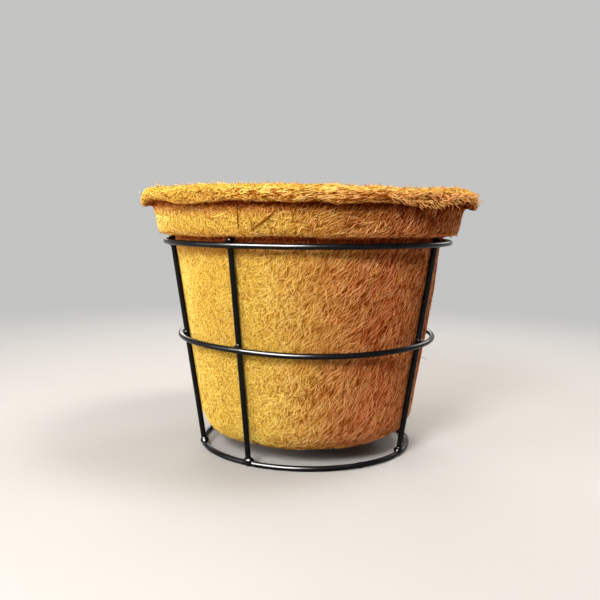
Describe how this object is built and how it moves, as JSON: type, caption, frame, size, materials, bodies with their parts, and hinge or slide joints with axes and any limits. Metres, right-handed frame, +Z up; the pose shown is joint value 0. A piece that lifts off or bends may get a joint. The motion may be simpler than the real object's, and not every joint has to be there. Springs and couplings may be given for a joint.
{
  "type": "coir pot in a wire stand",
  "caption": "Round tapered coir fibre pot with a collar and raw lip, hanging by the collar in a black welded wire stand, from which it lifts out.",
  "frame": {"origin": "centre of the base ring, on the surface that the stand rests on", "axes": "+Z up along the pot's axis, -Y towards the wide window between the two front legs, +X to its right"},
  "size_m": [0.2516, 0.253, 0.1961],
  "materials": {
    "coir": "matte",
    "powder_coat": "satin"
  },
  "bodies": {
    "stand": {"top_ring": "powder_coat", "middle_ring": "powder_coat", "base_ring": "powder_coat", "leg_front_left": "powder_coat", "leg_front_right": "powder_coat", "leg_left": "powder_coat", "leg_right": "powder_coat", "leg_back_left": "powder_coat", "leg_back_right": "powder_coat", "weld_top_front_left": "powder_coat", "weld_top_front_right": "powder_coat", "weld_top_left": "powder_coat", "weld_top_right": "powder_coat", "weld_top_back_left": "powder_coat", "weld_top_back_right": "powder_coat", "weld_middle_front_left": "powder_coat", "weld_middle_front_right": "powder_coat", "weld_middle_left": "powder_coat", "weld_middle_right": "powder_coat", "weld_middle_back_left": "powder_coat", "weld_middle_back_right": "powder_coat", "weld_base_front_left": "powder_coat", "weld_base_front_right": "powder_coat", "weld_base_left": "powder_coat", "weld_base_right": "powder_coat", "weld_base_back_left": "powder_coat", "weld_base_back_right": "powder_coat"},
    "pot": {"coir_pot": "coir"}
  },
  "joints": [
    {"name": "pot_lift", "type": "slide", "parent": "stand", "child": "pot", "axis": [0, 0, 1], "range_m": [0, 0.16]}
  ]
}
